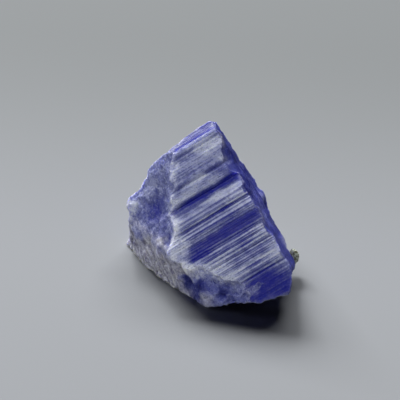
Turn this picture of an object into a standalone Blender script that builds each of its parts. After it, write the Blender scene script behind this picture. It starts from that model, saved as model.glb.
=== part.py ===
"""Rough tanzanite: a striated prism of zoisite, broken at both ends, with a grain of matrix.

The crystal is the overlap of two closed shapes. One is the grown prism, an outline with flutes
and ledges that runs along the crystal's long axis. The other is the broken block, a cube cut by
the fracture planes, remeshed and roughened. Shapes are drawn in millimetres and scaled to metres.
"""

import math

import bmesh
import bpy
from mathutils import Matrix, Vector, noise

COLLECTION = "rough_tanzanite"
METRES = 0.001
CENTRING = Vector((-0.06, 0.40, 0.0))  # brings the middle of the finished box over the origin
HEART = Vector((0.0, 0.0, 6.0))  # a point well inside the stone; fracture distances start here

# The grown prism. Its long axis leans up to the right; across and up span its cross-section.
AXIS_AZIMUTH = 13.5
AXIS_ELEVATION = 29.2
PRISM_REACH = 30.0
CROWN_TOP = (-6.1, 12.25)
FACE_TOP = (-5.6, 12.85)
FACE_FOOT = (9.45, -0.9)
KEEL_FRONT = (12.4, -8.0)
KEEL_BACK = (-5.6, -8.0)

# The striated face from its top edge down: distance along the face, and height above a flat face.
FLUTES = (
    (0.95, 0.10),
    (1.40, 0.42),
    (1.95, 0.22),
    (3.00, 0.62),
    (4.60, 0.82),
    (4.95, 0.50),
    (5.30, 0.72),
    (6.00, 0.86),
    (6.75, 0.32),
    (8.10, 1.10),
    (9.05, 1.22),
    (9.25, 1.00),
    (10.20, 1.36),
    (11.30, 1.12),
    (12.45, 0.92),
    (13.20, 1.26),
    (14.10, 1.32),
    (14.45, 1.14),
    (15.20, 1.36),
    (16.90, 1.18),
    (17.15, 0.98),
    (18.60, 0.62),
)

# The back of the prism, from the bottom up: height in the cross-section, and depth of the ledge.
BACK_LEDGES = (
    (-1.0, 0.0),
    (1.2, 0.35),
    (1.6, 0.0),
    (4.0, 0.1),
    (6.2, 0.5),
    (6.6, 0.15),
    (9.0, 0.25),
    (10.6, 0.45),
    (10.9, 0.1),
)

# The broken block: azimuth, elevation, distance from the heart, and roughness of each break.
BREAKS = {
    "left": (-145.1, 29.6, 4.25, 0.13),
    "upper_end": (1.6, 32.9, 6.05, 0.10),
    "lower_end": (12.3, 27.2, 5.45, 0.10),
    "tip": (80.0, 52.0, 10.45, 0.06),
    "crown_end": (141.0, 36.0, 8.70, 0.10),
    "corner": (-8.0, 2.5, 9.15, 0.08),
    "lower_left": (-144.7, 4.4, 5.70, 0.28),
    "far_left": (176.0, 3.0, 9.05, 0.28),
    "back_left": (138.0, 12.0, 9.30, 0.25),
    "lower_front": (-133.0, -1.0, 6.05, 0.28),
    "toe": (-103.9, 29.0, 3.85, 0.20),
    "underside": (-35.0, -75.3, 6.80, 0.20),
    "back_under": (47.6, -48.0, 6.10, 0.25),
    "base": (0.0, -90.0, 6.50, 0.10),
}
BLOCK_SIZE = 60.0
BREAK_BLEND = 0.7
VOXEL = 0.5
NOISE_SCALE = 0.5

# Lumps and hollows that stand out on the breaks: centre, radius and height.
LUMPS = {
    "left nub": ((-8.9, 3.2, 5.4), 0.9, 0.55),
    "left shoulder": ((-6.1, 3.7, 9.6), 1.9, 0.30),
    "ridge knob": ((-3.9, -3.3, 5.5), 1.1, 0.55),
    "ridge top": ((-4.1, 1.8, 10.3), 0.9, 0.25),
    "ridge middle": ((-3.9, -0.1, 8.8), 0.9, 0.25),
    "foot chunk": ((-0.8, -7.1, 1.1), 1.2, 0.45),
    "foot left": ((-2.9, -5.5, 0.8), 0.9, 0.30),
    "crest left": ((-2.2, -5.4, 3.9), 0.8, 0.35),
    "crest middle": ((1.7, -6.6, 3.8), 0.8, 0.35),
    "crest right": ((4.0, -7.0, 2.9), 0.8, 0.20),
    "upper end nub": ((5.3, 4.4, 5.9), 0.8, 0.45),
    "lower end nub": ((7.6, -1.2, 4.2), 0.9, 0.40),
    "grey lump high": ((-7.9, 0.9, 3.1), 1.0, 0.40),
    "grey lump low": ((-6.8, -0.5, 1.4), 0.9, 0.35),
    "grey lump right": ((-5.6, -2.2, 4.2), 0.9, 0.30),
    "hollow left": ((-2.2, -5.9, 2.1), 0.9, -0.50),
    "hollow middle": ((0.4, -7.0, 2.7), 0.8, -0.40),
    "end scallop": ((1.7, 2.1, 12.2), 1.3, -0.50),
    "end notch": ((6.0, 3.4, 5.2), 0.7, -0.35),
    "left dish": ((-6.0, 1.0, 6.9), 1.7, -0.25),
    "grey groove": ((-4.9, -3.4, 2.0), 0.9, -0.40),
}

# The grain of matrix, on the edge where the lower end meets the underside at the back.
GRAIN_CENTRE = (8.90, -1.43, 1.95)
GRAIN_RADII = (0.55, 0.75, 0.85)
GRAIN_ROUGHNESS = 0.12
GRAIN_PITS = 2.5
GRAIN_OUTWARD = (27.7, -8.9)  # azimuth and elevation
GRAIN_EDGE = Vector((8.64, -1.57, 1.99))  # the place on the crystal's edge that the grain faces
GRAIN_GAP = 0.2

ZOISITE = (0.09, 0.10, 0.33, 1.0)
MATRIX = (0.38, 0.40, 0.34, 1.0)


def direction(azimuth, elevation):
    """The unit vector at an azimuth from +X and an elevation from the floor, in degrees."""
    turn = math.radians(azimuth)
    rise = math.radians(elevation)
    return Vector((math.cos(turn) * math.cos(rise), math.sin(turn) * math.cos(rise), math.sin(rise)))


LONG_AXIS = direction(AXIS_AZIMUTH, AXIS_ELEVATION)
ACROSS = direction(AXIS_AZIMUTH - 90.0, 0.0)
UPWARD = ACROSS.cross(LONG_AXIS)


def material(name, colour, roughness):
    """A plain Principled material."""
    made = bpy.data.materials.new(name)
    made.use_nodes = True
    surface = made.node_tree.nodes["Principled BSDF"]
    surface.inputs["Base Color"].default_value = colour
    surface.inputs["Roughness"].default_value = roughness
    surface.inputs["Metallic"].default_value = 0.0
    return made


def in_place(mesh):
    """Moves a finished mesh over the origin and scales it from millimetres to metres."""
    mesh.transform(Matrix.Scale(METRES, 4) @ Matrix.Translation(CENTRING))


def add_object(name, mesh, collection):
    made = bpy.data.objects.new(name, mesh)
    collection.objects.link(made)
    return made


def evaluated_mesh(source):
    """The mesh of an object with its modifiers applied."""
    bpy.context.view_layer.update()
    graph = bpy.context.evaluated_depsgraph_get()
    return bpy.data.meshes.new_from_object(source.evaluated_get(graph))


def prism_outline():
    """The cross-section of the prism as (across, up) points, clockwise from the crown."""
    top = Vector(FACE_TOP)
    down = (Vector(FACE_FOOT) - top).normalized()
    out = Vector((-down.y, down.x))
    face = [top + down * along + out * height for along, height in FLUTES]
    back = [Vector((CROWN_TOP[0] + depth, height)) for height, depth in BACK_LEDGES]
    ends = [Vector(FACE_FOOT), Vector(KEEL_FRONT), Vector(KEEL_BACK)]
    return [Vector(CROWN_TOP), *face, *ends, *back]


def prism(collection):
    """The grown prism: its outline as a filled curve, extruded both ways along the long axis."""
    outline = prism_outline()
    curve = bpy.data.curves.new("prism", "CURVE")
    curve.dimensions = "2D"
    curve.fill_mode = "BOTH"
    curve.extrude = PRISM_REACH / 2.0
    spline = curve.splines.new("POLY")
    spline.points.add(len(outline) - 1)
    for point, place in zip(spline.points, outline):
        point.co = (place.x, place.y, 0.0, 1.0)
    spline.use_cyclic_u = True
    drawn = add_object("prism", curve, collection)
    mesh = evaluated_mesh(drawn)
    bpy.data.objects.remove(drawn)
    mesh.transform(Matrix((ACROSS, UPWARD, -LONG_AXIS)).transposed().to_4x4())
    closed = bmesh.new()
    closed.from_mesh(mesh)
    bmesh.ops.remove_doubles(closed, verts=closed.verts, dist=0.0001)
    bmesh.ops.recalc_face_normals(closed, faces=closed.faces)
    closed.to_mesh(mesh)
    closed.free()
    return add_object("prism", mesh, collection)


def cut_away(block, point, normal):
    """Removes what lies beyond a plane and closes the cut."""
    geometry = [*block.verts, *block.edges, *block.faces]
    cut = bmesh.ops.bisect_plane(block, geom=geometry, plane_co=point, plane_no=normal, clear_outer=True)
    rim = [piece for piece in cut["geom_cut"] if isinstance(piece, bmesh.types.BMEdge)]
    bmesh.ops.holes_fill(block, edges=rim)


def roughness_at(place):
    """How rough the break is here: that of the nearest break planes, blended."""
    total = 0.0
    weight = 0.0
    for azimuth, elevation, distance, rough in BREAKS.values():
        depth = abs(distance - (place - HEART).dot(direction(azimuth, elevation)))
        near = math.exp(-depth / BREAK_BLEND)
        total += near * rough
        weight += near
    return total / weight


def lumps_at(place):
    """How far the named lumps and hollows push the surface out here."""
    total = 0.0
    for centre, radius, height in LUMPS.values():
        total += height * math.exp(-((place - Vector(centre)).length_squared) / radius**2)
    return total


def broken_block(collection):
    """The block that the breaks leave: a cut cube, remeshed evenly and pushed in and out by noise."""
    cube = bmesh.new()
    bmesh.ops.create_cube(cube, size=BLOCK_SIZE)
    for azimuth, elevation, distance, _ in BREAKS.values():
        outward = direction(azimuth, elevation)
        cut_away(cube, HEART + outward * distance, outward)
    mesh = bpy.data.meshes.new("block")
    cube.to_mesh(mesh)
    cube.free()
    coarse = add_object("block", mesh, collection)
    even = coarse.modifiers.new("even", "REMESH")
    even.mode = "VOXEL"
    even.voxel_size = VOXEL
    fine = bmesh.new()
    fine.from_mesh(evaluated_mesh(coarse))
    bpy.data.objects.remove(coarse)
    fine.normal_update()
    moved = []
    for corner in fine.verts:
        swell = roughness_at(corner.co) * noise.fractal(corner.co * NOISE_SCALE, 0.9, 2.1, 4)
        moved.append(corner.co + corner.normal * (swell + lumps_at(corner.co)))
    for corner, place in zip(fine.verts, moved):
        corner.co = place
    cut_away(fine, Vector((0.0, 0.0, 0.0)), Vector((0.0, 0.0, -1.0)))
    bmesh.ops.triangulate(fine, faces=fine.faces)
    rough = bpy.data.meshes.new("broken_block")
    fine.to_mesh(rough)
    fine.free()
    return add_object("broken_block", rough, collection)


def crystal(collection, cutters):
    """The stone: the broken block where it lies inside the grown prism."""
    block = broken_block(cutters)
    grown = prism(cutters)
    overlap = block.modifiers.new("inside the prism", "BOOLEAN")
    overlap.operation = "INTERSECT"
    overlap.solver = "EXACT"
    overlap.object = grown
    mesh = evaluated_mesh(block)
    in_place(mesh)
    for leftover in (block, grown):
        bpy.data.objects.remove(leftover)
    stone = add_object("tanzanite_crystal", mesh, collection)
    mesh.materials.clear()
    mesh.materials.append(material("zoisite", ZOISITE, 0.35))
    return stone


def matrix_grain(collection):
    """A rounded, pitted grain of matrix with a flat side that faces the crystal."""
    grain = bmesh.new()
    bmesh.ops.create_icosphere(grain, subdivisions=3, radius=1.0)
    for corner in grain.verts:
        pitted = 1.0 + GRAIN_ROUGHNESS * noise.fractal(corner.co * GRAIN_PITS, 0.8, 2.0, 3)
        corner.co = corner.co * pitted
    bmesh.ops.scale(grain, vec=GRAIN_RADII, verts=grain.verts)
    bmesh.ops.translate(grain, vec=GRAIN_CENTRE, verts=grain.verts)
    outward = direction(*GRAIN_OUTWARD)
    cut_away(grain, GRAIN_EDGE + outward * GRAIN_GAP, -outward)
    bmesh.ops.triangulate(grain, faces=grain.faces)
    mesh = bpy.data.meshes.new("matrix_grain")
    grain.to_mesh(mesh)
    grain.free()
    in_place(mesh)
    mesh.materials.append(material("matrix", MATRIX, 0.8))
    return add_object("matrix_grain", mesh, collection)


def main():
    for old in list(bpy.data.objects):
        bpy.data.objects.remove(old)
    parts = bpy.data.collections.new(COLLECTION)
    cutters = bpy.data.collections.new("cutters")
    for collection in (parts, cutters):
        bpy.context.scene.collection.children.link(collection)
    crystal(parts, cutters)
    matrix_grain(parts)


main()
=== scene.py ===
"""Dresses the rough tanzanite: fine striations, frosted and waxy breaks, clear violet-blue windows.

The crystal is the overlap of a grown prism, scored with ribs, and a broken block with relief. Each
corner of the overlap keeps named values, and one finish is worked out from them.
"""

import math
from types import SimpleNamespace

import bmesh
import bpy
import numpy as np
from mathutils import Matrix, Vector, kdtree, noise


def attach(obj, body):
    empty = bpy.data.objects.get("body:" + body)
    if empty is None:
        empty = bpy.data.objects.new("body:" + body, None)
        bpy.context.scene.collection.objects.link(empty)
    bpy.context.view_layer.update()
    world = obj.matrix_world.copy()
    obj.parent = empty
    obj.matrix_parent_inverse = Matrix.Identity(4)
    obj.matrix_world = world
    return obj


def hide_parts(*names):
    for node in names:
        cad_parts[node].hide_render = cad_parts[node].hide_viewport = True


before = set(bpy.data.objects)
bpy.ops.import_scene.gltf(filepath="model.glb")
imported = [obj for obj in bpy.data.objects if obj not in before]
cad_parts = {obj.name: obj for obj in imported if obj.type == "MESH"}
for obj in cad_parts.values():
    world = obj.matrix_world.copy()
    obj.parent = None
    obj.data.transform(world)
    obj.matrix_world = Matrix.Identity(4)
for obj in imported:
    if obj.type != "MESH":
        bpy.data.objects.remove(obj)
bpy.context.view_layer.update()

# ---------------- driving sizes, in millimetres
METRES = 0.001
CENTRING = Vector((-0.06, 0.40, 0.0))  # brings the middle of the solid's box over the origin
HEART = Vector((0.0, 0.0, 6.0))  # a point well inside the stone; the breaks' distances start here

# The grown prism. Its long axis leans up to the right; across and up span its cross-section.
AXIS_AZIMUTH = 13.5
AXIS_ELEVATION = 29.2
PRISM_REACH = 21.0
CROWN_TOP = (-6.1, 12.25)
FACE_TOP = (-5.6, 12.85)
FACE_FOOT = (9.45, -0.9)
KEEL_FRONT = (12.4, -8.0)
KEEL_BACK = (-5.6, -8.0)
# How deeply the ribs score the other sides of it, against their full height.
CROWN_SCORED = 0.6
KEEL_SCORED = 0.4
BACK_SCORED = 0.8

# The striated face from its top edge down: distance along the face, height above a flat face,
# how deeply it is scored, and how frosted it is.
FLUTE_COLUMNS = ("fall", "height", "scored", "frost")
FLUTES = (
    (0.95, 0.10, 0.4, 0.10),
    (1.40, 0.42, 0.5, 0.75),
    (1.95, 0.22, 0.4, 0.65),
    (3.00, 0.62, 0.4, 0.75),
    (4.60, 0.82, 0.2, 0.62),
    (4.95, 0.50, 0.3, 0.40),
    (5.30, 0.72, 0.3, 0.65),
    (6.20, 0.86, 0.4, 0.90),
    (6.75, 0.32, 0.3, 0.00),
    (8.10, 1.10, 0.6, 0.80),
    (8.55, 1.16, 0.8, 0.50),
    (9.05, 1.22, 1.0, 0.80),
    (9.25, 1.00, 0.8, 0.25),
    (9.65, 1.15, 1.0, 0.65),
    (10.20, 1.36, 1.0, 0.45),
    (10.50, 1.29, 0.9, 0.55),
    (11.30, 1.12, 0.5, 0.15),
    (12.00, 1.00, 0.5, 0.10),
    (12.45, 0.92, 0.9, 0.45),
    (13.20, 1.26, 1.0, 0.55),
    (14.10, 1.32, 1.0, 0.75),
    (14.45, 1.14, 1.0, 0.62),
    (15.20, 1.36, 1.0, 0.68),
    (15.80, 1.30, 1.0, 0.85),
    (16.90, 1.18, 1.0, 0.55),
    (17.15, 0.98, 0.7, 0.25),
    (18.60, 0.62, 0.3, 0.10),
)

# The back of the prism, from the bottom up: height in the cross-section, and depth of the ledge.
BACK_LEDGES = (
    (-1.0, 0.0),
    (1.2, 0.35),
    (1.6, 0.0),
    (4.0, 0.1),
    (6.2, 0.5),
    (6.6, 0.15),
    (9.0, 0.25),
    (10.6, 0.45),
    (10.9, 0.1),
)

# The broken block: azimuth, elevation, distance from the heart, and roughness of each break, then
# how frosted it is, how grey, how white its edge against the grown faces, and how dark blue: haze
# on the clear ends, painted shade on the underside.
BREAK_COLUMNS = ("azimuth", "elevation", "distance", "roughness", "frost", "grey", "edge", "haze")
BREAKS = {
    "left": (-145.1, 29.6, 4.25, 0.13, 0.60, 0.0, 0.55, 0.0),
    "upper_end": (1.6, 32.9, 6.05, 0.15, 0.10, 0.0, 0.15, 1.0),
    "lower_end": (12.3, 27.2, 5.45, 0.15, 0.10, 0.0, 0.10, 1.0),
    "tip": (80.0, 52.0, 10.45, 0.06, 0.30, 0.0, 0.3, 0.2),
    "crown_end": (141.0, 36.0, 8.70, 0.10, 0.50, 0.0, 0.4, 0.0),
    "corner": (-8.0, 2.5, 9.15, 0.08, 0.12, 0.0, 0.1, 0.9),
    "lower_left": (-144.7, 4.4, 5.70, 0.28, 0.65, 0.9, 0.7, 0.0),
    "far_left": (176.0, 3.0, 9.05, 0.28, 0.65, 0.6, 0.6, 0.0),
    "back_left": (138.0, 12.0, 9.30, 0.25, 0.55, 0.3, 0.5, 0.1),
    "lower_front": (-133.0, -1.0, 6.05, 0.28, 0.62, 0.7, 1.0, 0.0),
    "toe": (-103.9, 29.0, 3.85, 0.28, 0.50, 0.1, 0.35, 0.1),
    # The underside's dark blue is painted shade, where it faces down to the floor.
    "underside": (-35.0, -75.3, 6.78, 0.20, 0.55, 0.3, 0.2, 0.7),
    "back_under": (47.6, -48.0, 6.10, 0.25, 0.70, 0.6, 0.4, 0.0),
    "base": (0.0, -90.0, 6.50, 0.10, 0.85, 0.8, 0.4, 0.0),
}
# Planes a millimetre or more outside the finished stone: they spare the remesh what the prism cuts
# away. Azimuth, elevation and distance.
GUARDS = {
    "front": (-104.6, 40.2, 5.6),
    "back": (103.5, 0.0, 7.2),
    "crown": (180.0, 70.0, 11.5),
}
BLOCK_SIZE = 60.0
SHAPE_BLEND = 0.7  # over what distance the shape of one break gives way to the next
FINISH_BLEND = 0.35  # the same for its finish
VOXEL = 0.14  # the size of the remesh's cells
FINENESS = 0.04  # between the points of the prism's outline
SPINE_POINTS = 70  # along the prism
WELD = 0.0001  # corners of the prism that are nearer than this are one

# Lumps and hollows that stand out on the breaks: centre, radius and height.
LUMPS = {
    "left nub": ((-8.9, 3.2, 5.4), 0.9, 0.55),
    "left shoulder": ((-6.1, 3.7, 9.6), 1.9, 0.30),
    "ridge knob": ((-4.2, -4.0, 4.6), 0.8, 0.40),
    "ridge notch": ((-3.6, -2.0, 7.2), 0.8, 0.35),
    "ridge corner": ((-5.0, -2.7, 5.3), 0.9, -0.40),
    "ridge top": ((-4.1, 1.8, 10.3), 0.9, 0.25),
    "ridge middle": ((-3.9, -0.1, 8.8), 0.9, 0.25),
    "foot chunk": ((-0.4, -7.2, 1.1), 1.0, 0.30),
    "crest left": ((-2.2, -5.4, 3.9), 0.8, 0.35),
    "crest middle": ((1.7, -6.6, 3.8), 0.8, 0.35),
    "crest right": ((4.0, -7.0, 2.9), 0.8, 0.20),
    "upper end nub": ((5.3, 4.4, 5.9), 0.8, 0.45),
    "lower end nub": ((7.6, -1.2, 4.2), 0.9, 0.40),
    "grey lump high": ((-7.7, 0.8, 3.3), 0.9, 0.35),
    "grey corner": ((-9.0, 0.2, 2.0), 0.9, -0.25),
    "grey lump low": ((-6.8, -0.5, 1.4), 0.9, 0.35),
    "grey lump right": ((-5.6, -2.2, 4.2), 0.9, 0.30),
    "hollow left": ((-2.5, -5.7, 1.8), 0.9, -0.50),
    "hollow middle": ((0.4, -7.0, 2.7), 0.8, -0.40),
    "end scallop": ((1.7, 2.1, 12.2), 1.3, -0.50),
    "end notch": ((6.0, 3.4, 5.2), 0.7, -0.35),
    "left dish": ((-6.0, 1.0, 6.9), 1.7, -0.25),
    "under the corner": ((8.0, -4.6, 1.2), 1.4, -0.55),
    "grey groove": ((-4.9, -3.4, 2.0), 0.9, -0.40),
}

# Where the ends of the ledges stand short of the end breaks: distance down the face, and step.
END_STEPS = (
    (0.0, -0.20),
    (2.0, 0.0),
    (2.9, -0.25),
    (4.2, -0.75),
    (5.5, -0.85),
    (6.1, -0.70),
    (6.7, -0.10),
    (8.1, -0.35),
    (8.3, -0.55),
    (9.2, -0.30),
    (12.5, -0.25),
    (13.8, -0.45),
    (14.5, -0.05),
    (18.8, 0.0),
)
END_STEP_DEPTH = 0.9
END_BREAKS = ("upper_end", "lower_end", "corner")

# Where the striated face ends above the toe: distance down the face, and place along the axis.
# Past the line the toe's break is pushed out by the step, so that the face stays whole there.
TOE_LINE = (
    (0.0, -8.0),
    (11.7, -2.4),
    (12.4, -1.1),
    (14.1, 0.2),
    (15.8, 1.4),
    (17.1, 2.5),
    (18.2, 4.5),
    (18.9, 5.7),
    (20.5, 8.5),
)
TOE_STEP = 0.6
TOE_SOFTNESS = 0.8  # over what distance the step rises
TOE_START = 0.3  # the share of it that is reached on the line

# The ribs of the grown faces. How long they run and how far they drift is counted in spacings.
RIB_SPACING = 0.33
RIB_HEIGHT = 0.14
RIB_RUN = 50.0
RIB_SEED = 3.0
RIB_DRIFT = 1.2
RIB_FADE = (0.30, 0.60)  # the values of the noise between which a broad rib fades in
RIB_LEAST = 0.35  # what is left of a broad rib where it fades
RIB_FINER = 2.6  # how much closer the fine ribs stand
RIB_BROAD = 0.65  # the broad ribs' share of the height
RIB_MIDDLE = 0.4  # the height that neither rises nor sinks
RIDGE_UNEVEN = 0.85
RIDGE_TOP = 1.8  # brings the highest crests to about 1

# The relief of the breaks, its scales in turns a millimetre. A break's roughness sets the height of
# the swell, grit, chips and flakes, and its grey that of the folds and wrinkles, along a slant.
SWELL_SCALE = 0.5
GRIT_SCALE = 1.9
GRIT_HEIGHT = 0.25
CHIP_SCALE = 0.75
CHIP_HEIGHT = 1.5
FLAKE_FINER = 2.7
FLAKE_HEIGHT = 0.7
FOLD_SCALE = 0.85
FOLD_HEIGHT = 0.62
WRINKLE_FINER = 2.6
WRINKLE_HEIGHT = 0.30
SHELL_MIDDLE = 0.4  # the depth that neither rises nor sinks
GREY_CALM = 0.6  # how much of the chips the grey takes away
FOLD_STRETCH = 0.62  # how far the folds are drawn out along the slant
OCTAVE_FADE = 0.9  # how fast the finer octaves of the noise fade, and how much finer each one is
OCTAVE_STEP = 2.1
WANDER_SCALE = 0.8
WANDER_STARTS = (11.3, 37.1, 71.9)
TOE_WANDER = 0.3
CHIP_WANDER = 0.35
MARK_WANDER = 0.5
FOLD_ALONG = Vector((0.50, -0.50, -0.71)).normalized()
FOLD_SIDE = Vector((0.71, 0.71, 0.0)).normalized()

# Marks on the striated face: place down the face and along the axis, half of the height and of
# the length, and how much more frosted the stone is there.
FACE_MARKS = {
    "crown patch": (0.60, 5.4, 0.35, 1.1, 0.10),
    "white patch": (2.30, 6.6, 0.80, 1.5, 0.50),
    # Painted shade: the shaded end is less frosted.
    "shaded end": (6.00, 7.4, 0.90, 1.2, -0.38),
    "blue groove": (7.00, 5.5, 0.30, 2.2, -0.45),
    "dark stripe top": (9.30, 5.2, 0.25, 1.4, -0.35),
    "pale rim middle": (10.3, 7.6, 0.50, 0.8, 0.20),
    "pale stripe": (10.8, 1.8, 0.35, 1.8, 0.22),
    "blue foot": (12.4, 0.2, 0.50, 1.5, -0.35),
    "blue end": (15.1, 6.4, 0.45, 1.5, -0.22),
    "pale rim high": (12.9, 7.5, 0.90, 0.9, 0.32),
    "pale chip": (5.05, 3.8, 0.50, 1.3, 0.60),
    "ridge side": (4.80, -0.5, 1.40, 1.2, 0.42),
    # Painted highlight: the ledge that faces the light is more frosted.
    "painted highlight on the ledge": (7.60, 6.0, 0.60, 2.4, 0.45),
    "pale ledge": (9.00, 6.8, 0.90, 1.4, 0.34),
    "ledge start": (8.30, -0.6, 0.80, 0.8, 0.30),
    "deep window": (11.5, 4.6, 0.50, 2.6, -0.38),
    "lilac foot": (11.0, -1.3, 1.40, 1.3, 0.40),
    "pale slope": (14.9, 1.6, 0.80, 1.4, 0.20),
    "dark stripe high": (13.7, 5.0, 0.22, 1.0, -0.40),
    "dark stripe low": (16.0, 4.8, 0.25, 0.9, -0.40),
    "vivid corner": (18.0, 4.8, 0.90, 1.3, -0.36),
    "pale rim": (16.8, 7.6, 2.20, 1.0, 0.34),
}

# Marks on the breaks: centre, radius, and how much more frosted, grey and dark blue the stone is
# there. The dark blue of the foot, the hollows, the grey corner and under the ridge is painted shade.
BREAK_MARKS = {
    "left window": ((-6.1, 1.3, 6.6), 1.4, -0.40, -0.3, 0.0),
    "left window low": ((-6.0, 0.3, 5.8), 1.0, -0.12, -0.4, 0.0),
    "ridge side": ((-4.3, -0.2, 8.5), 0.9, 0.42, 0.0, 0.0),
    "left nub": ((-8.8, 2.8, 5.3), 0.8, 0.45, -0.5, 0.0),
    "left shoulder": ((-6.8, 2.9, 8.0), 1.4, 0.20, 0.0, 0.0),
    "ridge knob": ((-3.9, -3.5, 5.3), 1.2, 0.60, -0.9, 0.0),
    "foot chunk": ((-0.4, -7.4, 0.9), 0.9, 0.0, 0.1, 0.2),
    # Painted shade: dark blue under the foot, where it meets the floor.
    "foot shade": ((-1.9, -6.6, 0.2), 1.1, -0.40, -0.4, 0.9),
    # Painted shade: dark blue in the three hollows at the toe.
    "hollow left": ((-2.6, -5.5, 1.7), 0.8, -0.30, -0.8, 1.0),
    "hollow low": ((-1.4, -6.5, 2.0), 0.8, -0.30, -0.4, 0.9),
    "hollow middle": ((1.1, -7.1, 1.8), 0.9, -0.30, -0.2, 0.9),
    "crest start": ((-4.4, -3.9, 2.6), 0.9, 0.40, 0.2, 0.0),
    "crest left": ((-2.9, -5.3, 3.4), 0.9, 0.50, 0.3, 0.0),
    "crest middle": ((-1.2, -5.9, 3.6), 0.9, 0.50, 0.2, 0.0),
    "crest right": ((0.8, -6.5, 3.2), 1.0, 0.50, 0.1, -0.2),
    "crest end": ((2.4, -6.9, 2.8), 0.8, 0.35, 0.0, 0.0),
    "toe right": ((4.6, -7.5, 2.4), 1.4, -0.05, -0.3, 0.0),
    "end nub": ((5.5, 3.6, 6.4), 0.9, 0.45, 0.3, -0.7),
    "lower end nub": ((7.9, -1.6, 4.4), 1.1, 0.35, 0.4, -0.7),
    "end shell": ((1.5, 2.3, 12.3), 0.7, 0.60, 0.0, -0.7),
    "end window": ((3.1, 0.8, 11.4), 1.1, -0.35, 0.0, 0.3),
    "end haze": ((5.2, 0.9, 7.9), 1.3, 0.30, 0.0, -0.35),
    "end low": ((5.9, -0.9, 7.2), 1.1, 0.30, 0.0, -0.30),
    # Painted shade: dark blue under the ridge and on the grey corner's lower side.
    "under the ridge": ((-5.1, -2.4, 5.1), 1.0, -0.35, 0.30, 0.6),
    "grey shade": ((-3.6, -5.0, 0.6), 0.9, -0.30, -0.2, 0.7),
}

# The crown, above the first flutes of the face, and the back: how frosted, grey and dark blue.
FACE_EDGE = 1.2
FACE_EDGE_SOFTNESS = 0.3
FACE_REACH = 0.6  # what lies farther from the fluted face isn't on it
CROWN_FINISH = (0.33, 0.31, 0.72)
BACK_FINISH = (0.32, 0.20, 0.80)
BACK_CLOUDS = 0.22
BACK_CLOUD_SCALE = 0.30
BACK_CLOUD_START = 9.0
MARK_LOOSE = 0.3  # how much the marks on the face wander up and down it
# The dark blue value is haze on the ends, and painted shade on the underside and in hollows.
GLASSY_CALM = 0.7  # how much of the wear on crests the haze takes away
KEPT_WITHIN = 0.002  # how near a corner of the prism has to be for a corner to come from it
CREST_ROUNDS = 2  # how often the wear on crests is smoothed

# The white edge of the breaks: its width, how uneven it is, and what is left of it below the face.
EDGE_WIDTH = 0.30
EDGE_LEAST_WIDTH = 0.05
EDGE_MEAN = 0.7
EDGE_SPREAD = 1.1
EDGE_MOST = 1.4
EDGE_SCALE = 0.9
EDGE_START = 5.0
EDGE_BELOW = 0.25

# Smooth white folds where the breaks meet: centre, radius, and how white they are.
WHITE_FOLDS = {
    "ridge fold high": ((-3.9, -3.0, 6.1), 0.55, 0.5),
    "ridge fold": ((-3.3, -4.2, 5.2), 0.60, 0.7),
    "ridge fold low": ((-4.4, -4.1, 4.2), 0.55, 0.8),
    "crest fold": ((-2.8, -5.2, 3.5), 0.70, 0.5),
    "foot fold": ((-0.6, -7.2, 1.0), 0.60, 0.3),
    "rim chip top": ((0.9, 3.6, 14.0), 0.50, 0.6),
    "rim chip high": ((1.3, 1.5, 13.2), 0.50, 0.7),
    "rim chip low": ((3.2, 0.2, 11.2), 0.40, 0.4),
}

# The grain of matrix, on the crystal's rear edge.
GRAIN_CENTRE = (8.90, -1.43, 1.95)
GRAIN_RADII = (0.55, 0.75, 0.85)
GRAIN_LUMPS = (0.12, 2.5, 0.8)  # height, scale, and how fast the finer octaves fade
GRAIN_PITS = (0.05, 7.0, 0.7)
GRAIN_SUBDIVISIONS = 6
GRAIN_OUTWARD = (27.7, -8.9)  # azimuth and elevation
GRAIN_EDGE = Vector((8.64, -1.57, 1.99))
GRAIN_FLAT = 0.05  # how far out from that edge the grain's flat side is
SHARP_ANGLE = 50.0  # edges steeper than this, in degrees, are shaded sharp

# ---------------- camera and light, in millimetres
SIGHT_ELEVATION = 38.0
SIGHT_DISTANCE = 250.0
SIGHT_WIDTH = 44.0  # what the frame spans where the stone stands
SIGHT_FROM = Vector((-1.38, -192.40, 159.29))
SIGHT_CLIP = (10.0, 20000.0)
SENSOR = 36.0
FLOOR_SIZE = 2400.0

# The lights: azimuth, elevation, width, height, roll and power. All are equally far from the heart.
LIGHT_DISTANCE = 1500.0
KEY_COLOUR = (1.0, 1.0, 1.0)
KEYS = {
    "key": (114.0, 34.8, 800.0, 330.0, -24.0, 24.0),
    "key's end": (80.0, 41.0, 1100.0, 280.0, -4.0, 10.8),
}
FILL_COLOUR = (0.96, 0.99, 1.0)
FILLS = {
    "top fill": (-100.0, 75.0, 1200.0, 1200.0, 0.0, 9.0),
    "left fill": (-165.0, 35.0, 1200.0, 1200.0, 0.0, 7.0),
    "right fill": (-60.0, 30.0, 1200.0, 1200.0, 0.0, 3.5),
}
WORLD_COLOUR = (0.004, 0.004, 0.005, 1.0)

# ---------------- the finishes: noise in turns a millimetre, its steps, and colours
# The first three are drawn out, two of them along the long axis and one along the folds.
STREAK_SCALES = (3.8, 0.22, 1.0)
SAND_SCALES = (7.0, 4.5, 7.0)
BRUSH_SCALES = (2.2, 2.2, 0.55)
MOTTLE_SCALE = 0.9
SPECK_SCALE = 5.5
RUST_SCALE = 0.8
BROAD_LINES = (0.28, 3.0)  # the spacing of the bright lines, and their seed
FINE_LINES = (0.16, 21.0)
# The steps of the sand: above the first a glint is painted, and below the second a pit's shade.
LILAC_GLINTS = (0.55, 0.68)
LILAC_SHADED_PITS = (0.32, 0.48)
WAX_GLINTS = (0.54, 0.68)
WAX_SHADED_PITS = (0.30, 0.46)
GREY_STEP = (0.15, 0.75)  # from where to where lilac stone gives way to wax

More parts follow.
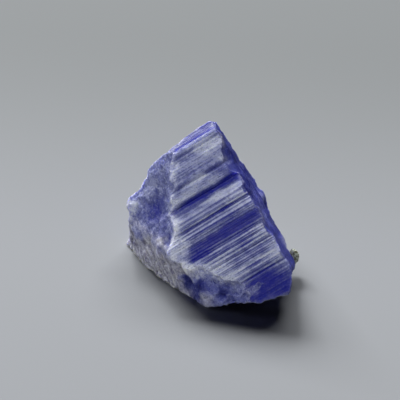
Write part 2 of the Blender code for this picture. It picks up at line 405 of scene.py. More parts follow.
VIOLET_TO_LILAC = (
    (0.0, (0.014, 0.022, 0.62)),
    (0.35, (0.120, 0.138, 0.50)),
    (0.7, (0.300, 0.325, 0.60)),
    (1.0, (0.580, 0.605, 0.76)),
)
HAZE_AND_SHADE_DEEP = (0.003, 0.004, 0.085)
HAZE_AND_SHADE_PALE = (0.055, 0.065, 0.24)
WORN_AND_SHEEN_LILAC = (0.80, 0.81, 0.90)
PIT_SHADE_LILAC = (0.025, 0.030, 0.17)
WAX_DARK = (0.19, 0.18, 0.28)
WAX_PALE = (0.64, 0.64, 0.73)
WAX_BROWN = (0.50, 0.44, 0.38)
WAX_HOLLOW_SHADE = (0.09, 0.09, 0.15)
GLINT_WAX = (0.88, 0.87, 0.90)
PIT_SHADE_WAX = (0.12, 0.11, 0.15)
WORN_WAX = (0.80, 0.80, 0.84)
CLEAR_TINT = (0.50, 0.53, 0.92)
CLEAR_PALE = (0.75, 0.77, 0.97)
INSIDE_TINT = (0.20, 0.23, 0.92, 1.0)
INSIDE_DENSITY = 350.0
ZOISITE_INDEX = 1.69
SKIN_INDEX = 1.5
SKIN_SHINE = 0.08
SKIN_DEPTH = (0.8, 0.8, 1.2)  # how far each colour of light creeps under the frosted skin
SKIN_DEPTH_SCALE = 0.0005
GRAIN_DARK = (0.34, 0.37, 0.30)
GRAIN_PALE = (0.62, 0.66, 0.57)
GRAIN_SPOT = (0.09, 0.09, 0.055)
# Painted shade: the floor's colour darkens towards the back.
FLOOR_NEAR = (0.435, 0.455, 0.485)
FLOOR_FAR = (0.300, 0.318, 0.328)
FLOOR_BACKWARD = (0.10, 1.0, 0.0)
FLOOR_SPAN = (-5.0, 46.0)  # from where to where the floor darkens


def direction(azimuth, elevation):
    """The unit vector at an azimuth from +X and an elevation from the floor, in degrees."""
    turn = math.radians(azimuth)
    rise = math.radians(elevation)
    return Vector((math.cos(turn) * math.cos(rise), math.sin(turn) * math.cos(rise), math.sin(rise)))


LONG_AXIS = direction(AXIS_AZIMUTH, AXIS_ELEVATION)
ACROSS = direction(AXIS_AZIMUTH - 90.0, 0.0)
UPWARD = ACROSS.cross(LONG_AXIS)
FACE_DOWN = (Vector(FACE_FOOT) - Vector(FACE_TOP)).normalized()
FACE_OUT = Vector((-FACE_DOWN.y, FACE_DOWN.x))


# ---------------- node trees
class Value:
    """A socket of a node tree, with the arithmetic that the trees are written in."""

    def __init__(self, tree, socket):
        self.tree = tree
        self.socket = socket

    def out(self, name):
        """Another output of the same node."""
        return Value(self.tree, self.socket.node.outputs[name])

    def math(self, operation, *others, clamp=False):
        settings = {"operation": operation, "use_clamp": clamp}
        return self.tree.node("ShaderNodeMath", settings, dict(enumerate((self, *others))))

    def reflected(self, operation, other):
        return self.tree.node("ShaderNodeMath", {"operation": operation}, {0: other, 1: self})

    def __add__(self, other):
        return self.math("ADD", other)

    def __sub__(self, other):
        return self.math("SUBTRACT", other)

    def __mul__(self, other):
        return self.math("MULTIPLY", other)

    def __truediv__(self, other):
        return self.math("DIVIDE", other)

    def __rsub__(self, other):
        return self.reflected("SUBTRACT", other)

    def __rtruediv__(self, other):
        return self.reflected("DIVIDE", other)

    __radd__ = __add__
    __rmul__ = __mul__

    def clamped(self):
        return self.math("ADD", 0.0, clamp=True)

    def between(self, low, high):
        """0 below low and 1 above high, smooth between them."""
        sockets = {"Value": self, "From Min": low, "From Max": high}
        return self.tree.node("ShaderNodeMapRange", {"interpolation_type": "SMOOTHSTEP"}, sockets)


class Tree:
    """A node tree being written, for a shape or for a finish."""

    def __init__(self, tree):
        self.tree = tree

    def node(self, kind, settings=None, sockets=None, output=0):
        """Adds a node: its settings first, then the values or links of its sockets."""
        made = self.tree.nodes.new(kind)
        for name, value in (settings or {}).items():
            if name == "stops":
                self.set_stops(made.color_ramp, value)
            else:
                setattr(made, name, value)
        for key, value in (sockets or {}).items():
            if isinstance(value, Value):
                self.tree.links.new(value.socket, made.inputs[key])
            else:
                made.inputs[key].default_value = value
        return Value(self, made.outputs[output])

    def set_stops(self, ramp, stops):
        while len(ramp.elements) < len(stops):
            ramp.elements.new(1.0)
        for element, (place, colour) in zip(ramp.elements, stops):
            element.position = place
            element.color = (*colour, 1.0)

    def dot(self, value, along):
        sockets = {0: value, 1: tuple(along)}
        return self.node("ShaderNodeVectorMath", {"operation": "DOT_PRODUCT"}, sockets, "Value")

    def combine(self, x, y, z):
        return self.node("ShaderNodeCombineXYZ", None, {"X": x, "Y": y, "Z": z})

    def noise(self, place, scale, detail=3.0, rough=0.55, twist=0.0):
        sockets = {"Vector": place, "Scale": scale, "Detail": detail}
        sockets.update({"Roughness": rough, "Distortion": twist})
        return self.node("ShaderNodeTexNoise", None, sockets)

    def ridge(self, place):
        """Straight ribs of uneven width: 0 in each valley and about 1 on the highest crests."""
        settings = {"voronoi_dimensions": "1D"}
        sockets = {"W": place, "Scale": 1.0, "Randomness": RIDGE_UNEVEN}
        return self.node("ShaderNodeTexVoronoi", settings, sockets, "Distance") * RIDGE_TOP

    def mix(self, factor, low, high):
        """Colour low where the factor is 0 and high where it is 1."""
        low, high = ((*c, 1.0) if isinstance(c, tuple) else c for c in (low, high))
        return self.node("ShaderNodeMix", {"data_type": "RGBA"}, {0: factor, 6: low, 7: high}, 2)

    def attribute(self, name):
        return self.node("ShaderNodeAttribute", {"attribute_name": name}, None, "Fac")

    def show(self, surface, volume=None):
        """Ends a finish with its surface and, for a clear one, what fills it."""
        end = self.tree.nodes.new("ShaderNodeOutputMaterial")
        self.tree.links.new(surface.socket, end.inputs["Surface"])
        if volume:
            self.tree.links.new(volume.socket, end.inputs["Volume"])


# ---------------- small helpers
def add_object(name, mesh):
    made = bpy.data.objects.new(name, mesh)
    bpy.context.scene.collection.objects.link(made)
    return made


def evaluated_mesh(source):
    """The mesh of an object with its modifiers applied."""
    bpy.context.view_layer.update()
    graph = bpy.context.evaluated_depsgraph_get()
    return bpy.data.meshes.new_from_object(source.evaluated_get(graph))


def in_place(mesh):
    """Moves a finished mesh over the origin and scales it from millimetres to metres."""
    mesh.transform(Matrix.Scale(METRES, 4) @ Matrix.Translation(CENTRING))


def vertex_places(mesh):
    places = np.empty(len(mesh.vertices) * 3)
    mesh.vertices.foreach_get("co", places)
    return places.reshape(-1, 3)


def vertex_normals(mesh):
    normals = np.empty(len(mesh.vertices) * 3)
    mesh.vertex_normals.foreach_get("vector", normals)
    return normals.reshape(-1, 3)


def set_places(mesh, places):
    mesh.vertices.foreach_set("co", places.ravel())
    mesh.update()


def edge_ends(mesh):
    """The numbers of the corners at the two ends of each edge."""
    edges = np.empty(len(mesh.edges) * 2, dtype=np.int64)
    mesh.edges.foreach_get("vertices", edges)
    return edges.reshape(-1, 2).T


def fractal(places, octaves):
    """Noise from coarse to fine at each place, above and below 0."""
    return np.array([noise.fractal(place, OCTAVE_FADE, OCTAVE_STEP, octaves) for place in places])


def nearness(places, centre, radius):
    """1 at the centre, fading out over the radius."""
    return np.exp(-((places - centre) ** 2).sum(axis=1) / radius**2)


def cut_away(block, point, normal):
    """Removes what lies beyond a plane and closes the cut."""
    geometry = [*block.verts, *block.edges, *block.faces]
    cut = bmesh.ops.bisect_plane(block, geom=geometry, plane_co=point, plane_no=normal, clear_outer=True)
    rim = [piece for piece in cut["geom_cut"] if isinstance(piece, bmesh.types.BMEdge)]
    bmesh.ops.holes_fill(block, edges=rim)


# ---------------- the grown prism
def grown_prism_tree():
    """Sweeps an outline along a straight spine and scores it with ribs that run the length of it.

    The radius of each point of the outline says how deeply the ribs score it there.
    """
    group = bpy.data.node_groups.new("grown prism", "GeometryNodeTree")
    sizes = {
        "Length": PRISM_REACH,
        "Fineness": FINENESS,
        "Rib Spacing": RIB_SPACING,
        "Rib Height": RIB_HEIGHT,
        "Rib Run": RIB_RUN,
        "Seed": RIB_SEED,
    }
    group.interface.new_socket("Geometry", in_out="INPUT", socket_type="NodeSocketGeometry")
    for label, size in sizes.items():
        socket = group.interface.new_socket(label, in_out="INPUT", socket_type="NodeSocketFloat")
        socket.default_value = size
    group.interface.new_socket("Finish", in_out="INPUT", socket_type="NodeSocketMaterial")
    group.interface.new_socket("Geometry", in_out="OUTPUT", socket_type="NodeSocketGeometry")
    tree = Tree(group)
    given = tree.node("NodeGroupInput")

    sockets = {"Curve": given, "Length": given.out("Fineness")}
    outline = tree.node("GeometryNodeResampleCurve", {"mode": "LENGTH"}, sockets)
    for name, value in (
        ("across", tree.node("GeometryNodeSplineParameter", None, None, "Length")),
        ("scored", tree.node("GeometryNodeInputRadius")),
    ):
        sockets = {"Geometry": outline, "Name": name, "Value": value}
        settings = {"data_type": "FLOAT", "domain": "POINT"}
        outline = tree.node("GeometryNodeStoreNamedAttribute", settings, sockets)

    half = given.out("Length") * 0.5
    ends = {"Start": tree.combine(0.0, 0.0, 0.0 - half), "End": tree.combine(0.0, 0.0, half)}
    spine = tree.node("GeometryNodeCurvePrimitiveLine", None, ends)
    spine = tree.node("GeometryNodeResampleCurve", None, {"Curve": spine, "Count": SPINE_POINTS})
    sockets = {"Curve": spine, "Profile Curve": outline, "Fill Caps": True}
    solid = tree.node("GeometryNodeCurveToMesh", None, sockets)

    across = tree.node("GeometryNodeInputNamedAttribute", {"data_type": "FLOAT"}, {"Name": "across"})
    scored = tree.node("GeometryNodeInputNamedAttribute", {"data_type": "FLOAT"}, {"Name": "scored"})
    along = tree.node("ShaderNodeSeparateXYZ", None, {0: tree.node("GeometryNodeInputPosition")}, "Z")
    step = across / given.out("Rib Spacing")
    run = along / (given.out("Rib Spacing") * given.out("Rib Run"))
    seed = given.out("Seed")
    drift = (tree.noise(tree.combine(step * 0.3, run * 1.5, seed), 1.0, 1.0) - 0.5) * RIB_DRIFT
    broad = tree.ridge(step + drift + seed * 31.0)
    fine = tree.ridge(step * RIB_FINER + drift + seed * 17.0)
    fade = tree.noise(tree.combine(step * 0.35, run * 9.0, seed + 3.0), 1.0, 2.0).between(*RIB_FADE)
    broad = broad * (RIB_LEAST + fade * (1.0 - RIB_LEAST))
    rib = broad * RIB_BROAD + fine * (1.0 - RIB_BROAD)
    sockets = {"Geometry": solid, "Name": "rib", "Value": rib}
    settings = {"data_type": "FLOAT", "domain": "POINT"}
    solid = tree.node("GeometryNodeStoreNamedAttribute", settings, sockets)
    height = (rib - RIB_MIDDLE) * scored * given.out("Rib Height")
    sockets = {0: tree.node("GeometryNodeInputNormal"), "Scale": height}
    lift = tree.node("ShaderNodeVectorMath", {"operation": "SCALE"}, sockets)
    solid = tree.node("GeometryNodeSetPosition", None, {"Geometry": solid, "Offset": lift})
    solid = tree.node("GeometryNodeRealizeInstances", None, {"Geometry": solid})
    sockets = {"Geometry": solid, "Material": given.out("Finish")}
    solid = tree.node("GeometryNodeSetMaterial", None, sockets)

    end = group.nodes.new("NodeGroupOutput")
    group.links.new(solid.socket, end.inputs[0])
    return group


def set_inputs(modifier, values):
    """Sets the named inputs of a geometry modifier."""
    for item in modifier.node_group.interface.items_tree:
        if item.in_out == "INPUT" and item.name in values:
            modifier[item.identifier] = values[item.name]


def prism_outline():
    """The prism's cross-section from the crown round: (across, up, how deeply it is scored)."""
    top = Vector(FACE_TOP)
    outline = [(*CROWN_TOP, CROWN_SCORED)]
    for along, height, scored, _ in FLUTES:
        outline.append((*(top + FACE_DOWN * along + FACE_OUT * height), scored))
    outline += [(*corner, KEEL_SCORED) for corner in (FACE_FOOT, KEEL_FRONT, KEEL_BACK)]
    for height, depth in BACK_LEDGES:
        outline.append((CROWN_TOP[0] + depth, height, BACK_SCORED))
    return outline


def grown_prism(finish):
    """The prism with its ledges and striations, as a closed mesh."""
    outline = prism_outline()
    curve = bpy.data.curves.new("outline", "CURVE")
    curve.dimensions = "2D"
    curve.fill_mode = "NONE"
    spline = curve.splines.new("POLY")
    spline.points.add(len(outline) - 1)
    for point, (across, up, scored) in zip(spline.points, outline):
        point.co = (across, up, 0.0, 1.0)
        point.radius = scored
    spline.use_cyclic_u = True
    drawn = add_object("outline", curve)
    grow = drawn.modifiers.new("grow", "NODES")
    grow.node_group = grown_prism_tree()
    set_inputs(grow, {"Finish": finish})
    mesh = evaluated_mesh(drawn)
    bpy.data.objects.remove(drawn)
    mesh.transform(Matrix((ACROSS, UPWARD, -LONG_AXIS)).transposed().to_4x4())
    closed = bmesh.new()
    closed.from_mesh(mesh)
    bmesh.ops.remove_doubles(closed, verts=closed.verts, dist=WELD)
    bmesh.ops.recalc_face_normals(closed, faces=closed.faces)
    closed.to_mesh(mesh)
    closed.free()
    return add_object("grown_prism", mesh)


# ---------------- the broken block
def break_depths(places):
    """How far each place is from each break plane, the breaks in the same order."""
    outward = np.array([direction(azimuth, elevation) for azimuth, elevation, *_ in BREAKS.values()])
    return np.abs(break_values("distance") - (places - np.array(HEART)) @ outward.T)


def break_weights(places, blend):
    """How strongly each place takes after each break, the nearest ones most."""
    near = np.exp(-break_depths(places) / blend)
    return near / near.sum(axis=1, keepdims=True)


def break_values(name):
    """One named value of every break, the breaks in the same order."""
    column = BREAK_COLUMNS.index(name)
    return np.array([values[column] for values in BREAKS.values()])


def flute_values(fall, name):
    """One named value of the striated face, at distances down it."""
    flutes = np.array(FLUTES)
    return np.interp(fall, flutes[:, 0], flutes[:, FLUTE_COLUMNS.index(name)])


def lumps_at(places):
    """How far the named lumps and hollows push the surface out."""
    total = np.zeros(len(places))
    for centre, radius, height in LUMPS.values():
        total += height * nearness(places, centre, radius)
    return total


def face_coordinates(places):
    """How far each place is down the striated face, above its flat, and along the axis."""
    across = places @ np.array(ACROSS) - FACE_TOP[0]
    up = places @ np.array(UPWARD) - FACE_TOP[1]
    along = places @ np.array(LONG_AXIS)
    return across * FACE_DOWN.x + up * FACE_DOWN.y, across * FACE_OUT.x + up * FACE_OUT.y, along


def cells(places):
    """How far each place is from the nearest of many strewn points, about 0 to 1."""
    return np.array([noise.voronoi(place)[0][0] for place in places])


def wandered(places, reach):
    """Places moved about by noise, so that what is drawn from them has no straight edges."""
    moved = [fractal(places * WANDER_SCALE + start, 3) for start in WANDER_STARTS]
    return places + reach * np.column_stack(moved)


def shells(places):
    """Rounded hollows that meet in sharp crests."""
    return np.minimum(cells(places) ** 2, 1.0) - SHELL_MIDDLE


def chipped(places, rough, grey):
    """Shell-shaped chips, and drawn-out rounded folds where the stone is grey."""
    loose = wandered(places, CHIP_WANDER)
    chips = shells(loose * CHIP_SCALE)
    flakes = shells(loose * CHIP_SCALE * FLAKE_FINER)
    lengthwise = (loose @ np.array(FOLD_ALONG))[:, None] * np.array(FOLD_ALONG)
    drawn_out = loose - FOLD_STRETCH * lengthwise
    folds = -shells(drawn_out * FOLD_SCALE)
    wrinkles = -shells(drawn_out * FOLD_SCALE * WRINKLE_FINER)
    broken = rough * (CHIP_HEIGHT * chips + FLAKE_HEIGHT * flakes)
    folded = grey * (FOLD_HEIGHT * folds + WRINKLE_HEIGHT * wrinkles)
    return broken * (1.0 - GREY_CALM * grey) + folded


def end_steps(places, weights):
    """How far the ends of the ledges stand short of the end breaks, fading out under the face."""
    fall, above, _ = face_coordinates(places)
    steps = np.array(END_STEPS)
    beneath = np.clip(flute_values(fall, "height") - above, 0.0, None)
    near_face = np.exp(-beneath / END_STEP_DEPTH)
    on_end = sum(weights[:, list(BREAKS).index(name)] for name in END_BREAKS)
    return np.interp(fall, steps[:, 0], steps[:, 1]) * near_face * on_end


def above_toe(fall, along):
    """1 on the side of the toe line where the striated face is whole, 0 where it is broken away."""
    line = np.array(TOE_LINE)
    past = along - np.interp(fall, line[:, 0], line[:, 1])
    return np.clip(past / TOE_SOFTNESS + TOE_START, 0.0, 1.0)


def broken_block():
    """The block that the breaks leave, remeshed evenly, then roughened from coarse to fine."""
    cube = bmesh.new()
    bmesh.ops.create_cube(cube, size=BLOCK_SIZE)
    planes = [(azimuth, elevation, distance) for azimuth, elevation, distance, *_ in BREAKS.values()]
    for azimuth, elevation, distance in (*planes, *GUARDS.values()):
        outward = direction(azimuth, elevation)
        cut_away(cube, HEART + outward * distance, outward)
    mesh = bpy.data.meshes.new("block")
    cube.to_mesh(mesh)
    cube.free()
    coarse = add_object("block", mesh)
    even = coarse.modifiers.new("even", "REMESH")
    even.mode = "VOXEL"
    even.voxel_size = VOXEL
    fine = evaluated_mesh(coarse)
    bpy.data.objects.remove(coarse)

    places = vertex_places(fine)
    normals = vertex_normals(fine)
    weights = break_weights(places, SHAPE_BLEND)
    rough = weights @ break_values("roughness")
    grey = weights @ break_values("grey")
    swell = rough * fractal(places * SWELL_SCALE, 4) + lumps_at(places)
    swell += chipped(places, rough, grey)
    swell += rough * GRIT_HEIGHT * fractal(places * GRIT_SCALE, 4)
    fall, _, along = face_coordinates(wandered(places, TOE_WANDER))
    swell += TOE_STEP * above_toe(fall, along) * weights[:, list(BREAKS).index("toe")]
    moved = places + normals * swell[:, None]
    moved += np.array(LONG_AXIS) * end_steps(places, weights)[:, None]
    set_places(fine, moved)

    flat = bmesh.new()
    flat.from_mesh(fine)
    cut_away(flat, Vector((0.0, 0.0, 0.0)), Vector((0.0, 0.0, -1.0)))
    bmesh.ops.triangulate(flat, faces=flat.faces)
    flat.to_mesh(fine)
    flat.free()
    return add_object("broken_block", fine)


# ---------------- what the finish reads
def convexity(mesh):
    """How far each corner stands out from its neighbours, against the length of its edges."""
    places = vertex_places(mesh)
    normals = vertex_normals(mesh)
    first, second = edge_ends(mesh)
    count = np.bincount(first, minlength=len(places)) + np.bincount(second, minlength=len(places))

    def neighbours(values):
        total = np.zeros_like(values)
        np.add.at(total, first, values[second])
        np.add.at(total, second, values[first])
        return total / (count[:, None] if values.ndim > 1 else count)

    lengths = np.linalg.norm(places[first] - places[second], axis=1)
    reach = np.zeros(len(places))
    np.add.at(reach, first, lengths)
    np.add.at(reach, second, lengths)
    raised = ((places - neighbours(places)) * normals).sum(axis=1) / (reach / count)
    for _ in range(CREST_ROUNDS):
        raised = 0.5 * raised + 0.5 * neighbours(raised)
    return raised


def add_values(mesh, name, values):
    """Keeps a value on each corner, under a name that the finish reads."""
    layer = mesh.attributes.get(name) or mesh.attributes.new(name, "FLOAT", "POINT")
    layer.data.foreach_set("value", values.astype(np.float32))


def face_marks(fall, along):
    """How much more frosted each place on the striated face is for the marks it carries."""
    total = np.zeros(len(fall))
    for down, middle, half_height, half_length, change in FACE_MARKS.values():
        off = ((fall - down) / half_height) ** 2
        off += ((along - middle) / half_length) ** 2
        total += change * np.exp(-(off**2))
    return total


def tree_of(places):
    tree = kdtree.KDTree(len(places))
    for number, place in enumerate(places):
        tree.insert(place, number)
    tree.balance()
    return tree


def grown_corners(mesh, prism):
    """Which corners the overlap kept from the prism, and how high on a rib each of them is."""
    ribs = np.empty(len(prism.vertices))
    prism.attributes["rib"].data.foreach_get("value", ribs)
    tree = tree_of(vertex_places(prism))
    found = [tree.find(place) for place in vertex_places(mesh)]
    kept = np.array([away for _, _, away in found]) < KEPT_WITHIN
    return kept, ribs[[number for _, number, _ in found]] * kept


def rim_distance(mesh, kept):
    """How far each corner is from the line where the grown faces meet the breaks."""
    first, second = edge_ends(mesh)
    crossing = kept[first] != kept[second]
    rim = np.unique(np.concatenate([first[crossing], second[crossing]]))
    places = vertex_places(mesh)
    tree = tree_of(places[rim])
    return np.array([tree.find(place)[2] for place in places])


def own_finish(places, loose):
    """How frosted, grey and hazed each place would be as a grown face: the front, crown or back."""
    fall, above, _ = face_coordinates(places)
    loose_fall, _, loose_along = face_coordinates(loose)
    on_face = np.abs(flute_values(fall, "height") - above) < FACE_REACH
    front = on_face * np.clip((fall - FACE_EDGE) / FACE_EDGE_SOFTNESS + 1.0, 0.0, 1.0)
    crown = on_face * (1.0 - front)
    back = 1.0 - on_face
    clouds = BACK_CLOUDS * fractal(places * BACK_CLOUD_SCALE + BACK_CLOUD_START, 4)
    own = flute_values(fall, "frost")
    own += face_marks((1.0 - MARK_LOOSE) * fall + MARK_LOOSE * loose_fall, loose_along)
    frost = front * own + crown * CROWN_FINISH[0] + back * (BACK_FINISH[0] + clouds)
    grey = crown * CROWN_FINISH[1] + back * (BACK_FINISH[1] + clouds)
    haze = crown * CROWN_FINISH[2] + back * (BACK_FINISH[2] - clouds)
    return frost, grey, haze, on_face


def white_edge(places, weights, rim):
    """How white each place is for the worn edge where the breaks meet the grown faces."""
    fall, above, _ = face_coordinates(places)
    uneven = EDGE_MEAN + EDGE_SPREAD * fractal(places * EDGE_SCALE + EDGE_START, 3)
    uneven = np.clip(uneven, 0.0, EDGE_MOST)
    width = EDGE_WIDTH * uneven + EDGE_LEAST_WIDTH
    edge = (weights @ break_values("edge")) * np.exp(-((rim / width) ** 2)) * uneven
    beneath = np.clip(flute_values(fall, "height") - above, 0.0, None)
    return edge * (EDGE_BELOW + (1.0 - EDGE_BELOW) * np.exp(-beneath))


def dress_values(mesh, prism):
    """Keeps on each corner what the finish reads there: frost, grey, wear, haze and the ribs."""
    places = vertex_places(mesh)
    loose = wandered(places, MARK_WANDER)
    grown, ribs = grown_corners(mesh, prism)
    weights = break_weights(places, FINISH_BLEND)
    own_frost, own_grey, own_haze_and_shade, on_face = own_finish(places, loose)
    break_haze_and_shade = weights @ break_values("haze")
    frost = np.where(grown, own_frost, weights @ break_values("frost"))
    grey = np.where(grown, own_grey, weights @ break_values("grey"))
    haze = np.where(grown, own_haze_and_shade, break_haze_and_shade)
    for centre, radius, more_frost, more_grey, more_haze_and_shade in BREAK_MARKS.values():
        near = nearness(loose, centre, radius)
        frost += near * more_frost
        grey += near * more_grey
        haze += near * more_haze_and_shade
    folds = np.zeros(len(places))
    for centre, radius, white in WHITE_FOLDS.values():
        folds += white * nearness(loose, centre, radius)
    scored = flute_values(face_coordinates(places)[0], "scored") * on_face * grown
    edge = white_edge(places, weights, rim_distance(mesh, grown))
    add_values(mesh, "frost", np.clip(frost, 0.0, 1.0))
    add_values(mesh, "grey", np.clip(grey, 0.0, 1.0))
    add_values(mesh, "haze", np.clip(haze, 0.0, 1.0))
    add_values(mesh, "edge", np.clip(edge + folds, 0.0, 1.0))
    add_values(mesh, "scored", scored * (1.0 - np.clip(folds, 0.0, 1.0)))
    add_values(mesh, "crest", convexity(mesh) * (1.0 - GLASSY_CALM * break_haze_and_shade))
    add_values(mesh, "grown", grown)
    add_values(mesh, "rib", ribs)


def crystal(finish):
    """The stone: the broken block where it lies inside the grown prism."""
    block = broken_block()
    grown = grown_prism(finish)
    overlap = block.modifiers.new("inside the prism", "BOOLEAN")
    overlap.operation = "INTERSECT"
    overlap.solver = "EXACT"
    overlap.object = grown
    mesh = evaluated_mesh(block)
    dress_values(mesh, grown.data)
    for leftover in (block, grown):
        bpy.data.objects.remove(leftover)
    in_place(mesh)
    mesh.shade_smooth()
    mesh.set_sharp_from_angle(angle=math.radians(SHARP_ANGLE))
    mesh.materials.clear()
    mesh.materials.append(finish)
    return add_object("rough_zoisite", mesh)


def matrix_grain(finish):
    """A rounded, pitted grain of matrix with a flat side that faces the crystal."""
    grain = bmesh.new()
    bmesh.ops.create_icosphere(grain, subdivisions=GRAIN_SUBDIVISIONS, radius=1.0)
    for corner in grain.verts:
        swell = 1.0
        for height, scale, fade in (GRAIN_LUMPS, GRAIN_PITS):
            swell += height * noise.fractal(corner.co * scale, fade, 2.0, 3)
        corner.co = corner.co * swell
    bmesh.ops.scale(grain, vec=GRAIN_RADII, verts=grain.verts)
    bmesh.ops.translate(grain, vec=GRAIN_CENTRE, verts=grain.verts)
    outward = direction(*GRAIN_OUTWARD)
    cut_away(grain, GRAIN_EDGE + outward * GRAIN_FLAT, -outward)
    bmesh.ops.triangulate(grain, faces=grain.faces)
    mesh = bpy.data.meshes.new("matrix_crumb")
    grain.to_mesh(mesh)
    grain.free()
    in_place(mesh)
    mesh.shade_smooth()
    mesh.materials.append(finish)
    return add_object("matrix_crumb", mesh)


# ---------------- finishes
def new_finish(name):
    finish = bpy.data.materials.new(name)
    finish.use_nodes = True
    finish.node_tree.nodes.clear()
    return finish, Tree(finish.node_tree)


def object_place(tree):
    """Where a point is in its own piece, in millimetres."""
    place = tree.node("ShaderNodeTexCoord", None, None, "Object")
    sockets = {0: place, "Scale": 1.0 / METRES}
    return tree.node("ShaderNodeVectorMath", {"operation": "SCALE"}, sockets)


def hairlines(tree, fall, along, spacing, seed):
    """Thin bright lines along the axis, a spacing apart, that fade in and out: frosted crests with
    painted sheen.
    """
    step = fall / spacing
    drift = (tree.noise(tree.combine(step * 0.3, along * 0.05, seed), 1.0, 1.0) - 0.5) * 1.4
    crest = tree.ridge(step + drift + seed)
    fade = tree.noise(tree.combine(step, along * 0.35, seed + 4.0), 1.0, 2.0).between(0.36, 0.56)
    beads = tree.noise(tree.combine(step * 2.0, along * 3.5, seed + 8.0), 1.0, 1.0).between(0.25, 0.65)
    return crest, crest.between(0.45, 0.85) * fade * (0.35 + beads * 0.65)


def stone_values(tree):
    """What the finish of the stone is worked out from: where a point is, its values, and noises."""
    place = object_place(tree)
    fall = tree.dot(place, ACROSS * FACE_DOWN.x + UPWARD * FACE_DOWN.y)
    rise = tree.dot(place, ACROSS * FACE_OUT.x + UPWARD * FACE_OUT.y)
    along = tree.dot(place, LONG_AXIS)
    kept = ("frost", "grey", "grown", "edge", "haze", "crest", "rib", "scored")
    at = SimpleNamespace(**{name: tree.attribute(name) for name in kept})

    at.broad_crest, broad_line = hairlines(tree, fall, along, *BROAD_LINES)
    at.fine_crest, fine_line = hairlines(tree, fall, along, *FINE_LINES)
    lines = broad_line * 0.50 + fine_line * 0.45 + at.rib.between(0.65, 0.95) * 0.10
    at.lines = at.scored * lines * (0.35 + at.frost * 0.8)

    def drawn_out(values, scales):
        """A place in turns of the noise, from three distances and a scale for each."""
        return tree.combine(*(value * scale for value, scale in zip(values, scales)))

    folds = [tree.dot(place, side) for side in (FOLD_SIDE, FOLD_ALONG.cross(FOLD_SIDE), FOLD_ALONG)]
    at.streak = tree.noise(drawn_out((fall, along, rise), STREAK_SCALES), 1.0, 3.0, 0.65)
    at.sand = tree.noise(drawn_out((fall, along, rise), SAND_SCALES), 1.0, 2.0, 0.8)
    at.brushed = tree.noise(drawn_out(folds, BRUSH_SCALES), 1.0, 4.0, 0.65, 0.5)
    at.mottle = tree.noise(place, MOTTLE_SCALE, 4.0, 0.65, 0.4)
    at.speck = tree.noise(place, SPECK_SCALE, 3.0, 0.7)
    at.rust = tree.noise(place, RUST_SCALE, 3.0, 0.6)
    return at


def veil_wear_and_sheen(at):
    """How veiled the clear stone is, and how white from wear and painted sheen, each from 0 to 1."""
    # The ribs are lighter on crests and darker in valleys: frosted ribs, partly painted sheen and shade.
    ribbed = (at.streak - 0.5) * 0.35 + (at.mottle - 0.5) * 0.75
    ribbed = ribbed + at.scored * (at.broad_crest - 0.65) * 0.50
    clouded = (at.mottle - 0.5) * 0.40 + (at.speck - 0.5) * 0.4 + (at.brushed - 0.5) * 0.6
    on_break = (1.0 - at.grown * 0.7) * clouded * (1.0 - at.haze * 0.6)
    # The crest value whitens worn crests, and darkens hollows as painted shade.
    veil = at.frost + at.grown * ribbed + on_break + at.crest
    scuffed = at.edge * (at.speck.between(0.30, 0.62) * 0.7 + 0.5)
    worn = scuffed.math("MAXIMUM", at.crest.between(0.14, 0.5)).math("MAXIMUM", at.lines)
    return veil.clamped(), worn.clamped()


def lilac_skin(tree, at):
    """The frosted violet stone, dark with haze and painted shade, white with wear and painted sheen,
    with painted glints and pit shade.
    """
    lilac = tree.node("ShaderNodeValToRGB", {"stops": VIOLET_TO_LILAC}, {0: at.veil})
    lilac = tree.mix(at.haze * 0.9, lilac, tree.mix(at.mottle.between(0.42, 0.70), HAZE_AND_SHADE_DEEP, HAZE_AND_SHADE_PALE))
    lilac = tree.mix(at.worn, lilac, WORN_AND_SHEEN_LILAC)
    # Painted glints where the sand is high, and painted shade in pits where it is low.
    painted_glints = at.sand.between(*LILAC_GLINTS) * (0.06 + at.veil * 0.46) * (1.0 - at.haze * 0.85)
    lilac = tree.mix(painted_glints, lilac, WORN_AND_SHEEN_LILAC)
    return tree.mix((1.0 - at.sand.between(*LILAC_SHADED_PITS)) * 0.55, lilac, PIT_SHADE_LILAC)


def waxy_skin(tree, at):
    """The weathered whitish stone, brushed along its folds, with rust, wear, painted glints, and painted
    shade in hollows and pits.
    """
    waxy = tree.mix(at.brushed.between(0.30, 0.70), WAX_DARK, WAX_PALE)
    waxy = tree.mix(at.rust.between(0.58, 0.72) * 0.25, waxy, WAX_BROWN)
    # Painted shade: hollows darken, the deeper the darker.
    waxy = tree.mix(at.crest.between(-0.35, 0.02), WAX_HOLLOW_SHADE, waxy)
    waxy = tree.mix(at.worn, waxy, WORN_WAX)
    # Painted glints where the sand is high, and painted shade in pits where it is low.
    waxy = tree.mix(at.sand.between(*WAX_GLINTS) * 0.40, waxy, GLINT_WAX)
    return tree.mix((1.0 - at.sand.between(*WAX_SHADED_PITS)) * 0.4, waxy, PIT_SHADE_WAX)


